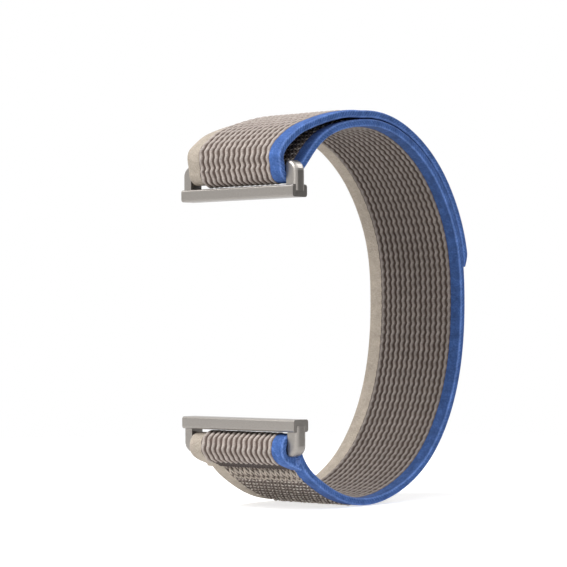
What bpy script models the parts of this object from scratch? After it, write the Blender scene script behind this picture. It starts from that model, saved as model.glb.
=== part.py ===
"""Woven hook-and-loop watch strap with two slide-in lugs, closed as it is worn.

The origin is the centre of the watch case, midway between the two cross bars. +Z runs to the upper bar,
+X away from the dial towards the wrist, and the blue edge of the textile lies at -Y.
"""

import math

import bmesh
import bpy
import numpy as np
from mathutils import Vector

# Textile
BAND_WIDTH = 0.0220
BAND_THICKNESS = 0.00125
BLUE_WIDTH = 0.0023
CREAM_WIDTH = 0.0030
YARN_GAP = 0.0001
BAR_REACH = 0.0235
FOLD_RADIUS = 0.00125
LOOP_DEPTH = 0.0468
TOP_RISE = 0.0089
BOTTOM_DROP = 0.0100
STATION_SPACING = 0.0020
TIGHT_SPACING = 0.0009
FOLD_STEPS = 12
EDGE_ROUND = 0.00035
EDGE_STEPS = 2

# Tail and its fastening
LAYER_GAP = 0.00025
TAIL_MEETS_BAND = 0.0215
TAIL_TIP_REACH = 0.0620
TIP_TAPER = 0.0024
TIP_THICKNESS = 0.00025
HOOK_LENGTH = 0.0300
HOOK_THICKNESS = 0.00040
HOOK_SEAT_GAP = 0.00008
HOOK_TIP_MARGIN = 0.0060
HOOK_EDGE_MARGIN = 0.0006
FOLD_END_GAP = 0.00012

# Flap at the lower lug
FLAP_FOOT = 0.0034
FLAP_FOOT_GAP = 0.00015
FLAP_STRAIGHT = 0.0004
FLAP_GROUND_LENGTH = 0.0036
FLAP_END_THICKNESS = 0.00045
SEAM_RECESS = 0.00030
SEAM_GAP = 0.00012
SEAM_RIB_PITCH = 0.0011

# Lugs
EAR_RADIUS = 0.00180
EAR_THICKNESS = 0.0026
EAR_GAP = 0.00015
EAR_CENTRE_OUTSET = 0.00025
EAR_CENTRE_DROP = 0.00045
EAR_EDGE = 0.00070
EAR_EDGE_STEPS = 4
RAIL_DEPTH = 0.0036
RAIL_HEIGHT = 0.0021
RAIL_CORNER = 0.00045
RAIL_CORNER_STEPS = 4
RAIL_FOLD_GAP = 0.00030
RAIL_END_INSET = 0.00015
BAR_RADIUS = 0.00090
BAR_HOLE_GAP = 0.00006
BAR_SEAT_DEPTH = 0.0010
BAR_END_GAP = 0.00010
BAR_END_RECESS = 0.00075

# Latch in each rail
POCKET_WALL = 0.0008
POCKET_LENGTH = 0.0046
POCKET_HEIGHT = 0.00140
KEEPER_LENGTH = 0.0056
KEEPER_HEIGHT = 0.00160
KEEPER_THICKNESS = 0.00045
KEEPER_SLOT_LENGTH = 0.0035
KEEPER_SLOT_HEIGHT = 0.00096
LATCH_TRAVEL = 0.0007
LATCH_GAP = 0.00008
FLANGE_THICKNESS = 0.00035
SPRING_WIRE = 0.00016
SPRING_RADIUS = 0.00042
SPRING_TURNS = 4
BUMPER_RADIUS = 0.00055
BUMPER_DEPTH = 0.00080
BUMPER_PROUD = 0.00015
BUMPER_INSET = 0.0076
CUT_OVERRUN = 0.0005

ROUND_STEPS = 20
SLOT_STEPS = 8
SPRING_STEPS = 10
FINE_STEPS = 24

# The band leaves the upper bar this far below the level line on the wrist side, in degrees.
BAND_EXIT_ANGLE = -42.0

# The middle of the band from the upper bar round the wrist to the lower bar. Depths are shares of
# LOOP_DEPTH. Heights are shares of TOP_RISE above the upper bar, of BAR_REACH, and of BOTTOM_DROP below
# the lower bar.
TOP_ROUTE_SHARES = (
    (0.074, 0.095), (0.142, 0.475), (0.246, 0.810), (0.370, 0.965), (0.457, 1.000),
    (0.545, 0.955), (0.701, 0.634), (0.828, 0.105),
)
BACK_ROUTE_SHARES = ((0.920, 0.788), (0.979, 0.497), (1.000, 0.094), (0.983, -0.346), (0.936, -0.676))
BOTTOM_ROUTE_SHARES = (
    (0.868, -0.161), (0.769, 0.369), (0.603, 0.825), (0.417, 1.000), (0.256, 0.857),
    (0.160, 0.634), (0.085, 0.375), (0.048, 0.131),
)
# The free stretch of the tail's middle, from the upper bar to where it lies on the band.
TAIL_ROUTE_SHARES = (
    (-0.046, 0.202), (-0.031, 0.382), (0.005, 0.551), (0.045, 0.697), (0.110, 0.848),
    (0.182, 0.972), (0.256, 1.073), (0.343, 1.145),
)


def clear_scene():
    for old in list(bpy.data.objects):
        bpy.data.objects.remove(old, do_unlink=True)


def finish(name, colour, roughness, metallic=0.0):
    """A plain material for one sub-part."""
    made = bpy.data.materials.new(name)
    made.use_nodes = True
    shader = made.node_tree.nodes["Principled BSDF"]
    shader.inputs["Base Color"].default_value = (*colour, 1.0)
    shader.inputs["Roughness"].default_value = roughness
    shader.inputs["Metallic"].default_value = metallic
    return made


def pivot(name, place):
    """An empty on a joint's axis, which the pieces that turn there hang from."""
    made = bpy.data.objects.new(name, None)
    made.location = place
    bpy.context.scene.collection.objects.link(made)
    return made


def add_piece(name, mesh, material, parent=None, smooth_angle=math.radians(35)):
    made = bpy.data.objects.new(name, mesh)
    bpy.context.scene.collection.objects.link(made)
    mesh.materials.append(material)
    mesh.shade_smooth()
    mesh.set_sharp_from_angle(angle=smooth_angle)
    made.parent = parent
    return made


def mesh_from(name, points, faces):
    mesh = bpy.data.meshes.new(name)
    mesh.from_pydata(points, [], faces)
    shape = bmesh.new()
    shape.from_mesh(mesh)
    bmesh.ops.recalc_face_normals(shape, faces=shape.faces)
    shape.to_mesh(mesh)
    shape.free()
    return mesh


def skinned(name, rings):
    """A closed solid through rings of points, with its two end rings filled."""
    size = len(rings[0])
    points = [point for ring in rings for point in ring]
    faces = [tuple(range(size)), tuple(range(len(points) - size, len(points)))]
    for row in range(len(rings) - 1):
        for i in range(size):
            after = (i + 1) % size
            faces.append((row * size + i, row * size + after, (row + 1) * size + after, (row + 1) * size + i))
    return mesh_from(name, points, faces)


def combine(target, tool, operation):
    """Joins tool to target, or cuts it away. The tool itself isn't a part."""
    tool.hide_render = True
    tool.display_type = "WIRE"
    step = target.modifiers.new(tool.name, "BOOLEAN")
    step.operation = operation
    step.object = tool


def evenly(points, spacing):
    """Points about spacing apart along a fine line, both ends kept."""
    fine = np.array(points)
    along = np.concatenate([[0.0], np.cumsum(np.linalg.norm(np.diff(fine, axis=0), axis=1))])
    count = max(2, round(along[-1] / spacing) + 1)
    wanted = np.linspace(0.0, along[-1], count)
    return np.stack([np.interp(wanted, along, fine[:, axis]) for axis in (0, 1)], axis=1)


def smooth_line(knots, start_way, end_way):
    """A fine clamped cubic through the knots, in the XZ plane."""
    knots = np.array(knots)
    chords = np.linalg.norm(np.diff(knots, axis=0), axis=1)
    system = np.eye(len(knots))
    slopes = np.zeros_like(knots)
    slopes[0] = start_way
    slopes[-1] = end_way
    for i in range(1, len(knots) - 1):
        before, after = chords[i - 1], chords[i]
        system[i, i - 1 : i + 2] = after, 2 * (before + after), before
        rise_before = (knots[i] - knots[i - 1]) / before
        rise_after = (knots[i + 1] - knots[i]) / after
        slopes[i] = 3 * (after * rise_before + before * rise_after)
    slopes = np.linalg.solve(system, slopes)
    line = []
    for i, chord in enumerate(chords):
        t = np.linspace(0.0, 1.0, FINE_STEPS, endpoint=False)[:, None]
        line.append(
            (2 * t**3 - 3 * t**2 + 1) * knots[i]
            + (t**3 - 2 * t**2 + t) * chord * slopes[i]
            + (3 * t**2 - 2 * t**3) * knots[i + 1]
            + (t**3 - t**2) * chord * slopes[i + 1]
        )
    return np.concatenate([*line, knots[-1:]])


def arc(centre_z, radius, start_angle, end_angle, steps):
    """Points round a cross bar, in degrees from +X towards +Z."""
    turns = np.radians(np.linspace(start_angle, end_angle, steps + 1))
    return np.stack([radius * np.cos(turns), centre_z + radius * np.sin(turns)], axis=1)


def outward(route):
    """Unit normals on the left of the way the route runs."""
    ways = np.gradient(route, axis=0)
    ways /= np.linalg.norm(ways, axis=1)[:, None]
    return np.stack([-ways[:, 1], ways[:, 0]], axis=1)


def length_along(route):
    return np.concatenate([[0.0], np.cumsum(np.linalg.norm(np.diff(route, axis=0), axis=1))])


def band_route():
    """The middle of the band from its exit at the upper bar to its entry at the lower bar."""
    middle = FOLD_RADIUS + BAND_THICKNESS / 2
    leave = math.radians(BAND_EXIT_ANGLE)
    start = (middle * math.cos(leave), BAR_REACH + middle * math.sin(leave))
    knots = [start]
    knots += [(x * LOOP_DEPTH, BAR_REACH + z * TOP_RISE) for x, z in TOP_ROUTE_SHARES]
    knots += [(x * LOOP_DEPTH, z * BAR_REACH) for x, z in BACK_ROUTE_SHARES]
    knots += [(x * LOOP_DEPTH, -BAR_REACH - z * BOTTOM_DROP) for x, z in BOTTOM_ROUTE_SHARES]
    knots.append((middle, -BAR_REACH))
    fine = smooth_line(knots, (-math.sin(leave), math.cos(leave)), (0.0, 1.0))
    return evenly(fine, STATION_SPACING)


def flap_route(band):
    """The middle of the flap from the lower bar to its foot on the band's outer face."""
    middle = FOLD_RADIUS + BAND_THICKNESS / 2
    back = length_along(band)[-1] - length_along(band)
    foot = int(np.argmin(abs(back - FLAP_FOOT)))
    away = outward(band)[foot]
    end = band[foot] + away * (BAND_THICKNESS + FLAP_FOOT_GAP)
    end_way = (-away[1], away[0])
    below = (-middle, -BAR_REACH - FLAP_STRAIGHT)
    fine = smooth_line([(-middle, -BAR_REACH), below, end], (0.0, -1.0), end_way)
    return evenly(fine, BAND_THICKNESS / 2)


def tail_route(band):
    """The middle of the tail from the upper bar, over the free stretch and along the band's outer face."""
    middle = FOLD_RADIUS + BAND_THICKNESS / 2
    along = length_along(band)
    meets = int(np.argmin(abs(along - TAIL_MEETS_BAND)))
    tip = int(np.argmin(abs(along - TAIL_TIP_REACH)))
    away = outward(band)
    hugging = band + away * (BAND_THICKNESS + LAYER_GAP)
    knots = [(-middle, BAR_REACH)]
    knots += [(x * LOOP_DEPTH, BAR_REACH + z * TOP_RISE) for x, z in TAIL_ROUTE_SHARES]
    knots.append(tuple(hugging[meets]))
    way = (away[meets][1], -away[meets][0])
    free = evenly(smooth_line(knots, (0.0, 1.0), way), TIGHT_SPACING)
    return np.concatenate([free[:-1], hugging[meets : tip + 1]])


def selvedge_section(inside, edge):
    """Two round corners at the edge. Each point is a place across the width and a share of the thickness."""
    side = math.copysign(1.0, edge - inside)
    round_share = EDGE_ROUND / BAND_THICKNESS
    section = [(inside, 0.0)]
    for start, centre_share in ((-math.pi / 2, round_share), (0.0, 1 - round_share)):
        for step in range(EDGE_STEPS + 1):
            turn = start + math.pi / 2 * step / EDGE_STEPS
            across = edge - side * EDGE_ROUND * (1 - math.cos(turn))
            section.append((across, centre_share + round_share * math.sin(turn)))
    section.append((inside, 1.0))
    return section


def ground_section(near, far):
    return [(near, 0.0), (far, 0.0), (far, 1.0), (near, 1.0)]


def strip_mesh(name, route, section, low, high, origin):
    """A woven strip swept along route, from low to high on the route's normals."""
    rings = []
    for place, normal, bottom, top in zip(route, outward(route), low, high):
        ring = []
        for across, share in section:
            x, z = place + normal * (bottom + share * (top - bottom))
            ring.append(Vector((x, across, z)) - origin)
        rings.append(ring)
    return skinned(name, rings)


def even_thickness(route):
    half = np.full(len(route), BAND_THICKNESS / 2)
    return -half, half


YARNS = {
    "blue_selvedge": selvedge_section(-BAND_WIDTH / 2 + BLUE_WIDTH, -BAND_WIDTH / 2),
    "ground_weave": ground_section(
        -BAND_WIDTH / 2 + BLUE_WIDTH + YARN_GAP, BAND_WIDTH / 2 - CREAM_WIDTH - YARN_GAP
    ),
    "cream_selvedge": selvedge_section(BAND_WIDTH / 2 - CREAM_WIDTH, BAND_WIDTH / 2),
}


def make_band(finishes):
    """The main band: round the wrist, over the lower bar and down its flap."""
    band = band_route()
    middle = FOLD_RADIUS + BAND_THICKNESS / 2
    over_bar = arc(-BAR_REACH, middle, 0.0, 180.0, FOLD_STEPS)
    flap = flap_route(band)
    ground_flap = flap[length_along(flap) <= FLAP_GROUND_LENGTH]
    for yarn, section in YARNS.items():
        ground = yarn == "ground_weave"
        end = ground_flap if ground else flap
        route = np.concatenate([band[:-1], over_bar[:-1], end])
        low, high = even_thickness(route)
        if not ground:
            # The selvedges of the flap are pressed thin onto the band, so that they close the wedge.
            thinned = np.linspace(0.0, 1.0, len(flap)) ** 2
            low[-len(flap):] += thinned * (BAND_THICKNESS - FLAP_END_THICKNESS)
        mesh = strip_mesh("band_" + yarn, route, section, low, high, Vector())
        add_piece("band_" + yarn, mesh, finishes[yarn])
    return band, flap, ground_flap


def make_seam(flap, ground_flap, material):
    """The ribbed thread seam that closes the wedge between the flap's end and the band."""
    first = len(ground_flap)
    route = flap[first - 1 :]
    normals = outward(flap)[first - 1 :]
    near = -BAND_WIDTH / 2 + BLUE_WIDTH + YARN_GAP
    far = BAND_WIDTH / 2 - CREAM_WIDTH - YARN_GAP
    ribs = 2 * round((far - near) / SEAM_RIB_PITCH)
    start_way = np.array((normals[0][1], -normals[0][0]))
    rings = []
    for i in range(ribs + 1):
        across = near + (far - near) * i / ribs
        lift = SEAM_RECESS * (i % 2) / 2
        outline = []
        for step, (place, normal) in enumerate(zip(route, normals)):
            face = -BAND_THICKNESS / 2 + SEAM_RECESS + lift
            point = place + normal * face
            if step == 0:
                point = point + start_way * SEAM_GAP
            outline.append(point)
        for place, normal in list(zip(route, normals))[::-1]:
            outline.append(place + normal * (BAND_THICKNESS / 2 - SEAM_GAP))
        outline[-1] = outline[-1] + start_way * SEAM_GAP
        rings.append([Vector((x, across, z)) for x, z in outline])
    add_piece("flap_seam_thread", skinned("flap_seam_thread", rings), material)


def make_fold_and_tail(band, finishes, hook_material):
    """The textile past the upper bar: the fold that turns round it, and the tail that peels off the band."""
    turn = pivot("tail_pivot", (0.0, 0.0, BAR_REACH))
    middle = FOLD_RADIUS + BAND_THICKNESS / 2
    gap_angle = math.degrees(FOLD_END_GAP / middle)
    fold = arc(BAR_REACH, middle, BAND_EXIT_ANGLE - gap_angle, -180.0 + gap_angle, FOLD_STEPS)
    tail = tail_route(band)
    back = length_along(tail)[-1] - length_along(tail)
    low, high = even_thickness(tail)
    taper = np.clip(1 - back / TIP_TAPER, 0.0, 1.0)
    high = high - taper * (BAND_THICKNESS - TIP_THICKNESS)
    hooked = (back >= HOOK_TIP_MARGIN) & (back <= HOOK_TIP_MARGIN + HOOK_LENGTH)
    for yarn, section in YARNS.items():
        fold_mesh = strip_mesh("fold_" + yarn, fold, section, *even_thickness(fold), turn.location)
        add_piece("fold_" + yarn, fold_mesh, finishes[yarn], turn)
        bottom = low
        if yarn == "ground_weave":
            bottom = low + np.where(hooked, HOOK_THICKNESS + HOOK_SEAT_GAP, 0.0)
        tail_mesh = strip_mesh("tail_" + yarn, tail, section, bottom, high, turn.location)
        add_piece("tail_" + yarn, tail_mesh, finishes[yarn], turn)
    patch = tail[hooked]
    patch_low = np.full(len(patch), -BAND_THICKNESS / 2)
    section = ground_section(
        -BAND_WIDTH / 2 + BLUE_WIDTH + YARN_GAP + HOOK_EDGE_MARGIN,
        BAND_WIDTH / 2 - CREAM_WIDTH - YARN_GAP - HOOK_EDGE_MARGIN,
    )
    mesh = strip_mesh("hook_patch", patch, section, patch_low, patch_low + HOOK_THICKNESS, turn.location)
    add_piece("hook_patch", mesh, hook_material, turn)


def prism(name, outline, start, end, axis):
    """An outline pushed from start to end along axis. The outline's two places are along the other axes."""
    rings = []
    for reach in (start, end):
        ring = []
        for first, second in outline:
            places = [first, second]
            places.insert(axis, reach)
            ring.append(Vector(places))
        rings.append(ring)
    return skinned(name, rings)


def obround(length, height, centre_height):
    """A slot-shaped outline in the YZ plane."""
    radius = height / 2
    straight = length / 2 - radius
    outline = []
    for side in (1, -1):
        for step in range(SLOT_STEPS + 1):
            turn = math.pi * (step / SLOT_STEPS - 1 / 2)
            across = side * (straight + radius * math.cos(turn))
            outline.append((across, centre_height + side * radius * math.sin(turn)))
    return outline


def disc(radius, centre_across, centre_up, steps=ROUND_STEPS):
    turns = [math.tau * step / steps for step in range(steps)]
    return [(centre_across + radius * math.cos(t), centre_up + radius * math.sin(t)) for t in turns]


def rounded_box_outline(width, height, corner, centre_up):
    outline = []
    for quarter, (side_x, side_z) in enumerate(((1, 1), (-1, 1), (-1, -1), (1, -1))):
        for step in range(RAIL_CORNER_STEPS + 1):
            turn = math.pi / 2 * (quarter + step / RAIL_CORNER_STEPS)
            outline.append(
                (
                    side_x * (width / 2 - corner) + corner * math.cos(turn),
                    centre_up + side_z * (height / 2 - corner) + corner * math.sin(turn),
                )
            )
    return outline


def ear_ring(x, inset, side, case_way, rail_middle):
    """The round-topped outline of an ear, drawn in by inset. It runs straight down into the rail."""
    inner = BAND_WIDTH / 2 + EAR_GAP
    centre = inner + EAR_CENTRE_OUTSET
    radius = EAR_RADIUS - inset
    top_turn = math.acos(-EAR_CENTRE_OUTSET / radius)
    ring = [Vector((x, side * inner, rail_middle))]
    for step in range(SLOT_STEPS + 1):
        turn = top_turn * (1 - step / SLOT_STEPS)
        across = centre + radius * math.cos(turn)
        up = case_way * (EAR_CENTRE_DROP - radius * math.sin(turn))
        ring.append(Vector((x, side * across, up)))
    ring.append(Vector((x, side * (centre + radius), rail_middle)))
    return ring


def make_ear(name, side, case_way, rail_middle):
    """An ear beside the textile, with its outer edges well rounded."""
    rings = []
    for way in (-1, 1):
        for step in range(EAR_EDGE_STEPS + 1)[:: -way]:
            turn = math.pi / 2 * step / EAR_EDGE_STEPS
            x = way * (EAR_THICKNESS / 2 - EAR_EDGE * (1 - math.cos(turn)))
            rings.append(ear_ring(x, EAR_EDGE * (1 - math.sin(turn)), side, case_way, rail_middle))
    return skinned(name, rings)


def helper(name, mesh, parent):
    made = bpy.data.objects.new(name, mesh)
    bpy.context.scene.collection.objects.link(made)
    made.parent = parent
    return made


def make_spring(name, start_x, end_x, height, material, parent):
    """A small coil spring along X, behind the latch plunger."""
    line = bpy.data.curves.new(name, "CURVE")
    line.dimensions = "3D"
    line.bevel_depth = SPRING_WIRE / 2
    line.bevel_resolution = 1
    line.use_fill_caps = True
    count = SPRING_TURNS * SPRING_STEPS + 1
    spline = line.splines.new("POLY")
    spline.points.add(count - 1)
    for i, point in enumerate(spline.points):
        share = i / (count - 1)
        turn = math.tau * SPRING_TURNS * share
        across = SPRING_RADIUS * math.cos(turn)
        up = height + SPRING_RADIUS * math.sin(turn)
        point.co = (start_x + (end_x - start_x) * share, across, up, 1.0)
    line.materials.append(material)
    made = bpy.data.objects.new(name, line)
    bpy.context.scene.collection.objects.link(made)
    made.parent = parent


def make_lug(which, case_way, finishes):
    """One slide-in lug with its cross bar, latch and bumpers. case_way is -1 where the case lies below it."""
    turn = pivot(which + "_lug_pivot", (0.0, 0.0, -case_way * BAR_REACH))
    fold_reach = FOLD_RADIUS + BAND_THICKNESS
    rail_middle = case_way * (fold_reach + RAIL_FOLD_GAP + RAIL_HEIGHT / 2)
    inner = BAND_WIDTH / 2 + EAR_GAP
    outer = inner + EAR_CENTRE_OUTSET + EAR_RADIUS
    rail_half = outer - RAIL_END_INSET
    section = rounded_box_outline(RAIL_DEPTH, RAIL_HEIGHT, RAIL_CORNER, rail_middle)
    body_name = which + "_lug_body"
    body = add_piece(
        body_name, prism(body_name, section, -rail_half, rail_half, 1), finishes["lug"], turn
    )
    for side, end in ((-1, "near"), (1, "far")):
        ear = make_ear(f"{which}_{end}_ear", side, case_way, rail_middle)
        combine(body, helper(f"{which}_{end}_ear_tool", ear, turn), "UNION")

    seat = inner + BAR_SEAT_DEPTH
    hole = disc(BAR_RADIUS + BAR_HOLE_GAP, 0.0, 0.0)
    hole_mesh = prism(which + "_bar_hole", hole, -seat, outer + CUT_OVERRUN, 1)
    combine(body, helper(which + "_bar_hole", hole_mesh, turn), "DIFFERENCE")
    far_end = outer - BAR_END_RECESS
    bar_mesh = prism(which + "_cross_bar", disc(BAR_RADIUS, 0.0, 0.0), BAR_END_GAP - seat, far_end, 1)
    add_piece(which + "_cross_bar", bar_mesh, finishes["steel"], turn)

    face = RAIL_DEPTH / 2
    floor = -face + POCKET_WALL
    keeper_back = face - KEEPER_THICKNESS
    pocket = obround(POCKET_LENGTH, POCKET_HEIGHT, rail_middle)
    pocket_mesh = prism(which + "_pocket", pocket, floor, face + CUT_OVERRUN, 0)
    combine(body, helper(which + "_pocket", pocket_mesh, turn), "DIFFERENCE")
    seat_outline = obround(KEEPER_LENGTH + 2 * LATCH_GAP, KEEPER_HEIGHT + 2 * LATCH_GAP, rail_middle)
    seat_mesh = prism(which + "_keeper_seat", seat_outline, keeper_back - LATCH_GAP, face + CUT_OVERRUN, 0)
    combine(body, helper(which + "_keeper_seat", seat_mesh, turn), "DIFFERENCE")

    keeper_name = which + "_latch_keeper"
    keeper_mesh = prism(keeper_name, obround(KEEPER_LENGTH, KEEPER_HEIGHT, rail_middle), keeper_back, face, 0)
    keeper = add_piece(keeper_name, keeper_mesh, finishes["steel"], turn)
    slot = obround(KEEPER_SLOT_LENGTH, KEEPER_SLOT_HEIGHT, rail_middle)
    slot_mesh = prism(which + "_keeper_slot", slot, keeper_back - CUT_OVERRUN, face + CUT_OVERRUN, 0)
    combine(keeper, helper(which + "_keeper_slot", slot_mesh, turn), "DIFFERENCE")

    flange_front = keeper_back - LATCH_GAP
    flange_back = flange_front - FLANGE_THICKNESS
    plunger_name = which + "_latch_plunger"
    flange = obround(POCKET_LENGTH - 2 * LATCH_GAP, POCKET_HEIGHT - 2 * LATCH_GAP, rail_middle)
    flange_mesh = prism(plunger_name, flange, flange_back, flange_front, 0)
    plunger = add_piece(plunger_name, flange_mesh, finishes["steel"], turn)
    nose = obround(KEEPER_SLOT_LENGTH - 2 * LATCH_GAP, KEEPER_SLOT_HEIGHT - 2 * LATCH_GAP, rail_middle)
    nose_mesh = prism(which + "_nose", nose, flange_back + FLANGE_THICKNESS / 2, face + LATCH_TRAVEL, 0)
    combine(plunger, helper(which + "_nose", nose_mesh, turn), "UNION")

    wire = SPRING_WIRE / 2 + LATCH_GAP
    spring_name = which + "_latch_spring"
    make_spring(spring_name, floor + wire, flange_back - wire, rail_middle, finishes["spring"], turn)

    bumper_back = face - BUMPER_DEPTH
    for side, end in ((-1, "near"), (1, "far")):
        centre = side * (rail_half - BUMPER_INSET)
        hole_name = f"{which}_bumper_hole_{end}"
        hole = disc(BUMPER_RADIUS + LATCH_GAP, centre, rail_middle)
        hole_mesh = prism(hole_name, hole, bumper_back - LATCH_GAP, face + CUT_OVERRUN, 0)
        combine(body, helper(hole_name, hole_mesh, turn), "DIFFERENCE")
        name = f"{which}_bumper_{end}"
        dot = disc(BUMPER_RADIUS, centre, rail_middle)
        add_piece(name, prism(name, dot, bumper_back, face + BUMPER_PROUD, 0), finishes["bumper"], turn)


clear_scene()
finishes = {
    "blue_selvedge": finish("blue yarn", (0.055, 0.120, 0.480), 0.85),
    "ground_weave": finish("taupe yarn", (0.230, 0.185, 0.170), 0.90),
    "cream_selvedge": finish("cream yarn", (0.520, 0.460, 0.380), 0.88),
    "lug": finish("satin aluminium", (0.620, 0.600, 0.570), 0.32, 1.0),
    "steel": finish("polished steel", (0.560, 0.550, 0.540), 0.25, 1.0),
    "spring": finish("spring wire", (0.350, 0.350, 0.360), 0.40, 1.0),
    "bumper": finish("black elastomer", (0.020, 0.020, 0.022), 0.70),
    "hook": finish("hook nylon", (0.060, 0.058, 0.060), 0.75),
    "seam": finish("seam thread", (0.085, 0.072, 0.070), 0.85),
}
band, flap, ground_flap = make_band(finishes)
make_seam(flap, ground_flap, finishes["seam"])
make_fold_and_tail(band, finishes, finishes["hook"])
make_lug("upper", -1, finishes)
make_lug("lower", 1, finishes)
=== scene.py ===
"""Woven hook-and-loop watch strap with two slide-in lugs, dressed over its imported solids.

Everything is in metres, in the part's own frame. The origin is the centre of the watch case, +Z runs to
the upper bar, +X away from the dial towards the wrist, and the blue edge of the textile lies at -Y.
"""

import math

import bpy
import numpy as np
from mathutils import Matrix, Vector


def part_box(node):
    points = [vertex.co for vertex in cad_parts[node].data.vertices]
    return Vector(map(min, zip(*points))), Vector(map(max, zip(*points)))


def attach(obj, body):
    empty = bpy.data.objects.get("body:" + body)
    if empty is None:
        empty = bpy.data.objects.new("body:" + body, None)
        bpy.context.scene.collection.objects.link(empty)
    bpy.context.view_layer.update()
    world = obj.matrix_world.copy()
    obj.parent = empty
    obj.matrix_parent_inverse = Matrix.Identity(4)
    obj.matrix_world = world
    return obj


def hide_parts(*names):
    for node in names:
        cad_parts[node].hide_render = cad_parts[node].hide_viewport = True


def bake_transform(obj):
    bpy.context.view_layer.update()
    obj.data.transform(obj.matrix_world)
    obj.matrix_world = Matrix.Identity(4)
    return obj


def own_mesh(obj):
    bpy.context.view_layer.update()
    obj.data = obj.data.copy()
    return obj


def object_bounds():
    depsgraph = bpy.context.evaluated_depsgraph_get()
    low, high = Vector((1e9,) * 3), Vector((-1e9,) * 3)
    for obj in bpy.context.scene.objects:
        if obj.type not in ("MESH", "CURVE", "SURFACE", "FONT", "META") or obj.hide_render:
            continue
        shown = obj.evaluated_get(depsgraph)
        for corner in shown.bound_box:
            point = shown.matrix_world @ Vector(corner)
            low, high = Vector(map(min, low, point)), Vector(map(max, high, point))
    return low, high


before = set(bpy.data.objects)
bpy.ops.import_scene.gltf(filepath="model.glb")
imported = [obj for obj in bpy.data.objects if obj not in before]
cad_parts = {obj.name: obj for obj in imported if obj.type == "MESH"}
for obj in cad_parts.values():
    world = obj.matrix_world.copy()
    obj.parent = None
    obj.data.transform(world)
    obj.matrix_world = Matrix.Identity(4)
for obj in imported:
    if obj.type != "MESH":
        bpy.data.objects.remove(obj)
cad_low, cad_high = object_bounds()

# The woven ground of the main band, wrist side
# One length of nylon textile, 22 mm wide, leaves the upper bar, rounds the wrist, turns over the lower bar
# and ends in a flap. Fourteen warp ridges run along its wrist side and sway together at every weft.
BAND_WIDTH = 0.0220
BAND_THICKNESS = 0.00125
BLUE_WIDTH = 0.0023
CREAM_WIDTH = 0.0030
BAR_REACH = 0.0235
FOLD_RADIUS = 0.00125
LOOP_DEPTH = 0.0468
TOP_RISE = 0.0089
BOTTOM_DROP = 0.0100
BAND_EXIT_ANGLE = -42.0
FLAP_FOOT = 0.0034
FLAP_FOOT_GAP = 0.00015
FLAP_STRAIGHT = 0.0004
FLAP_GROUND_LENGTH = 0.0031
KNOT_STEPS = 64
ROUTE_SPACING = 0.0002
SHARP_ANGLE = 75

RIDGES = 14
RIDGE_HEIGHT = 0.00038
RIDGE_PROUD = 0.00020
WEFT_PITCH = 0.00165
WEFT_ROWS = 10
SWAY = 0.00013
SWAY_SKEW = 0.08
SWAY_PHASE = 0.6
SWAY_DRIFT = 0.55
EDGE_SWAY_SHARE = 0.35
STITCH_DIP_SHARE = 0.26
UNEVEN_SHARE = 0.12
RAGGED = 0.000030
RAGGED_ROWS = 3
RIDGE_NUDGE = 1e-6
RIDGE_PLACE_SHARES = (0.00, 0.14, 0.27, 0.41, 0.59, 0.73, 0.86)
RIDGE_HEIGHT_SHARES = (0.00, 0.18, 0.66, 0.97, 0.97, 0.66, 0.18)

YARN_GLOSS = 0.08
YARN_SHEEN = 0.05
YARN_SHEEN_ROUGHNESS = 0.45
YARN_STOPS = (0.20, 0.62, 0.98)
YARN_BUMP = 0.55
BUMPS_PER_GRAIN = 3
SPECKLE_DETAIL = 3.0
SPECKLE_SPREAD = (0.80, 1.18)
PATCH_SIZE = 8
PATCH_DETAIL = 2.0
NOISE_SPREAD = (0.3, 0.7)
PLAIN_MOTTLE = 0.09
TWIST_TURN = 28
TWIST_DISTORTION = 2.2
TWIST_DETAIL = 3.0
WAVE_UNIT = math.tau / 20
# Painted shade on the band's wrist side: the share of colour it keeps, and the length over which full colour
# comes back near both bars.
WRIST_SHADE_SHARE = 0.62
WRIST_SHADE_FADE = 0.006

TOP_ROUTE_SHARES = (
    (0.074, 0.095), (0.142, 0.475), (0.246, 0.810), (0.370, 0.965), (0.457, 1.000),
    (0.545, 0.955), (0.701, 0.634), (0.828, 0.105),
)
BACK_ROUTE_SHARES = ((0.920, 0.788), (0.979, 0.497), (1.000, 0.094), (0.983, -0.346), (0.936, -0.676))
BOTTOM_ROUTE_SHARES = (
    (0.868, -0.161), (0.769, 0.369), (0.603, 0.825), (0.417, 1.000), (0.256, 0.857),
    (0.160, 0.634), (0.085, 0.375), (0.048, 0.131),
)

half = BAND_THICKNESS / 2
fold_middle = FOLD_RADIUS + half
near_edge = -BAND_WIDTH / 2
far_edge = BAND_WIDTH / 2
ground_near = near_edge + BLUE_WIDTH
ground_far = far_edge - CREAM_WIDTH
ridge_pitch = (ground_far - ground_near) / RIDGES


def length_along(route):
    return np.concatenate([[0.0], np.cumsum(np.linalg.norm(np.diff(route, axis=0), axis=1))])


def pairs_at(lengths, along, pairs):
    """The X and Z of a line of pairs at some lengths along it."""
    return np.stack([np.interp(lengths, along, pairs[:, axis]) for axis in (0, 1)], axis=-1)


def evenly(points, spacing):
    """Points about spacing apart along a fine line, both ends kept."""
    along = length_along(points)
    count = max(3, round(along[-1] / spacing) + 1)
    return pairs_at(np.linspace(0.0, along[-1], count), along, points)


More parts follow.
